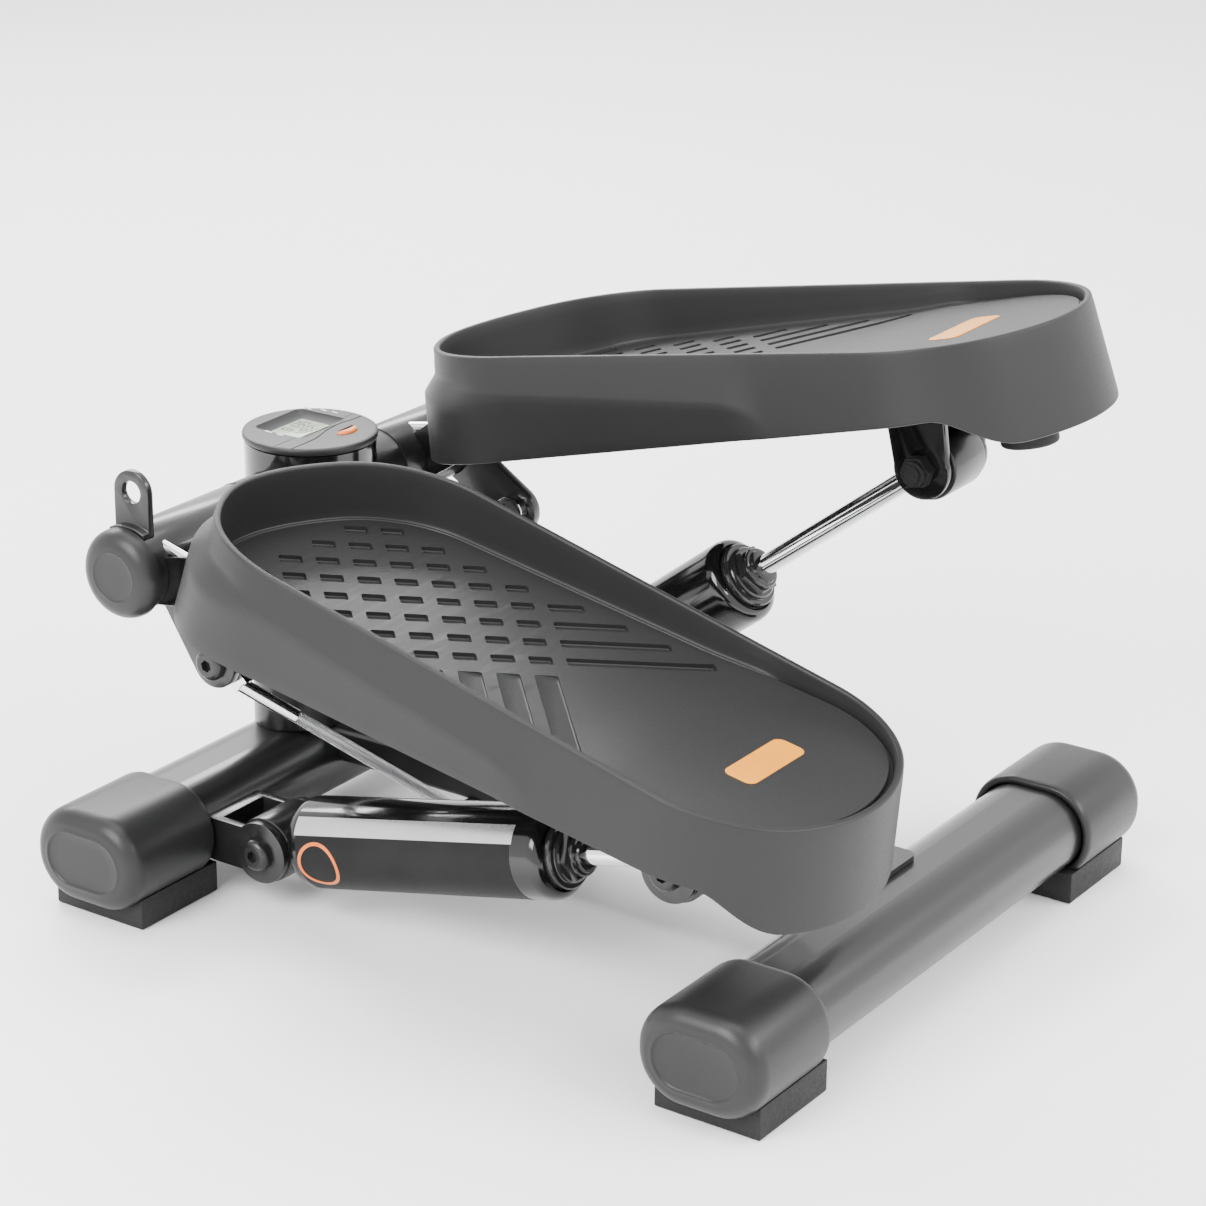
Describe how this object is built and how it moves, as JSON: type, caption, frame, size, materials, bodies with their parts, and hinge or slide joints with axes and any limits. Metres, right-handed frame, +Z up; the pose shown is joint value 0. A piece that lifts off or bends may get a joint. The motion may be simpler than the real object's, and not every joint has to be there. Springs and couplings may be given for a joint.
{
  "type": "stepper",
  "caption": "Twin-pedal hydraulic stepper: two trays hinged on one axle over an H-shaped base, with a damper cylinder under each, a linking cable and a round console.",
  "frame": {"origin": "on the floor, midway between the two crossbars and between the two pedals", "axes": "+Y from the heels to the toes, +X to the user's right, +Z up"},
  "size_m": [0.341, 0.3976, 0.2843],
  "materials": {
    "frame_paint": "gloss black powder coat",
    "dark_plastic": "matte dark grey moulding",
    "tray_plastic": "matte dark grey moulding, fine grain",
    "foot_rubber": "matte black rubber",
    "steel": "ground steel",
    "zinc": "bright zinc plate",
    "zinc_black": "blackened steel",
    "nylon": "natural nylon",
    "console_black": "gloss black",
    "console_face": "satin dark grey",
    "board_green": "circuit board",
    "lens": "clear window over a grey-green display",
    "button_orange": "orange",
    "chrome": "hard chrome",
    "cylinder_black": "gloss black",
    "gland": "dark plated steel",
    "sleeve": "clear sleeve over bright wire rope"
  },
  "bodies": {
    "frame": {"axle": "steel", "axle_end_screws": "zinc", "center_beam": "frame_paint", "console_board": "board_green", "console_face": "console_face", "console_housing": "console_black", "console_lens": "lens", "front_crossbar": "frame_paint", "front_cylinder_bolts": "zinc_black", "front_left_end_cap": "dark_plastic", "front_left_foot": "foot_rubber", "front_right_end_cap": "dark_plastic", "front_right_foot": "foot_rubber", "left_cylinder_bracket": "frame_paint", "post": "frame_paint", "pulley_guard": "frame_paint", "pulley_pin": "steel", "rear_crossbar": "frame_paint", "rear_left_end_cap": "dark_plastic", "rear_left_foot": "foot_rubber", "rear_right_end_cap": "dark_plastic", "rear_right_foot": "foot_rubber", "right_cylinder_bracket": "frame_paint"},
    "left_pedal": {"left_arm": "frame_paint", "left_axle_cap": "dark_plastic", "left_band_tab": "frame_paint", "left_bumper": "foot_rubber", "left_clevis_bolt": "zinc_black", "left_heel_pad": "tray_plastic", "left_hub": "frame_paint", "left_hub_bushes": "nylon", "left_lug_bolt": "zinc_black", "left_tie_rods": "chrome", "left_tray": "tray_plastic"},
    "left_cylinder": {"left_cylinder_tube": "cylinder_black", "left_cylinder_gland": "gland"},
    "left_rod": {"left_piston_rod": "chrome"},
    "left_cable_strand": {"left_cable": "sleeve", "left_cable_ferrule": "chrome"},
    "right_pedal": {"right_arm": "frame_paint", "right_axle_cap": "dark_plastic", "right_band_tab": "frame_paint", "right_bumper": "foot_rubber", "right_clevis_bolt": "zinc_black", "right_heel_pad": "tray_plastic", "right_hub": "frame_paint", "right_hub_bushes": "nylon", "right_lug_bolt": "zinc_black", "right_tie_rods": "chrome", "right_tray": "tray_plastic"},
    "right_cylinder": {"right_cylinder_tube": "cylinder_black", "right_cylinder_gland": "gland"},
    "right_rod": {"right_piston_rod": "chrome"},
    "right_cable_strand": {"right_cable": "sleeve", "right_cable_ferrule": "chrome"},
    "pulley": {"pulley": "nylon"},
    "button": {"console_button": "button_orange"}
  },
  "joints": [
    {"name": "left_pedal_hinge", "type": "hinge", "parent": "frame", "child": "left_pedal", "pos_m": [-0.0945, 0.166, 0.1575], "axis": [1, 0, 0], "range_deg": [-28.5, 3.3]},
    {"name": "right_pedal_hinge", "type": "hinge", "parent": "frame", "child": "right_pedal", "pos_m": [0.0945, 0.166, 0.1575], "axis": [1, 0, 0], "range_deg": [-3.3, 28.5]},
    {"name": "left_cylinder_pivot", "type": "hinge", "parent": "frame", "child": "left_cylinder", "pos_m": [-0.0945, 0.1089, 0.0285], "axis": [1, 0, 0], "range_deg": [-28.36, 3.55]},
    {"name": "left_rod_slide", "type": "slide", "parent": "left_cylinder", "child": "left_rod", "axis": [0, -0.974, 0.2267], "range_m": [-0.00886, 0.07038]},
    {"name": "left_cable_swing", "type": "hinge", "parent": "left_pedal", "child": "left_cable_strand", "pos_m": [-0.0945, 0.13754, 0.11289], "axis": [1, 0, 0], "range_deg": [-4.94, 40.33]},
    {"name": "right_cylinder_pivot", "type": "hinge", "parent": "frame", "child": "right_cylinder", "pos_m": [0.0945, 0.1089, 0.0285], "axis": [1, 0, 0], "range_deg": [-3.55, 28.36]},
    {"name": "right_rod_slide", "type": "slide", "parent": "right_cylinder", "child": "right_rod", "axis": [0, -0.789, 0.6144], "range_m": [-0.07038, 0.00886]},
    {"name": "right_cable_swing", "type": "hinge", "parent": "right_pedal", "child": "right_cable_strand", "pos_m": [0.0945, 0.12125, 0.12925], "axis": [1, 0, 0], "range_deg": [-40.33, 4.94]},
    {"name": "pulley_spin", "type": "hinge", "parent": "frame", "child": "pulley", "pos_m": [0, 0.039, 0.02], "axis": [0, 0, 1], "range_deg": [-4.57, 0.79]},
    {"name": "console_button_press", "type": "slide", "parent": "frame", "child": "button", "axis": [0, 0, -1], "range_m": [0, 0.001], "stiffness_N_per_m": 400}
  ],
  "couplings": [
    {"joint": "right_pedal_hinge", "follows": "left_pedal_hinge", "ratio": -1},
    {"joint": "left_cylinder_pivot", "follows": "left_pedal_hinge", "ratio": 0.9846},
    {"joint": "left_rod_slide", "follows": "left_pedal_hinge", "m_per_rad": -0.13988},
    {"joint": "left_cable_swing", "follows": "left_pedal_hinge", "ratio": -1.4047},
    {"joint": "right_cylinder_pivot", "follows": "left_pedal_hinge", "ratio": -0.9846},
    {"joint": "right_rod_slide", "follows": "left_pedal_hinge", "m_per_rad": 0.13988},
    {"joint": "right_cable_swing", "follows": "left_pedal_hinge", "ratio": 1.4047},
    {"joint": "pulley_spin", "follows": "left_pedal_hinge", "ratio": 0.15}
  ]
}
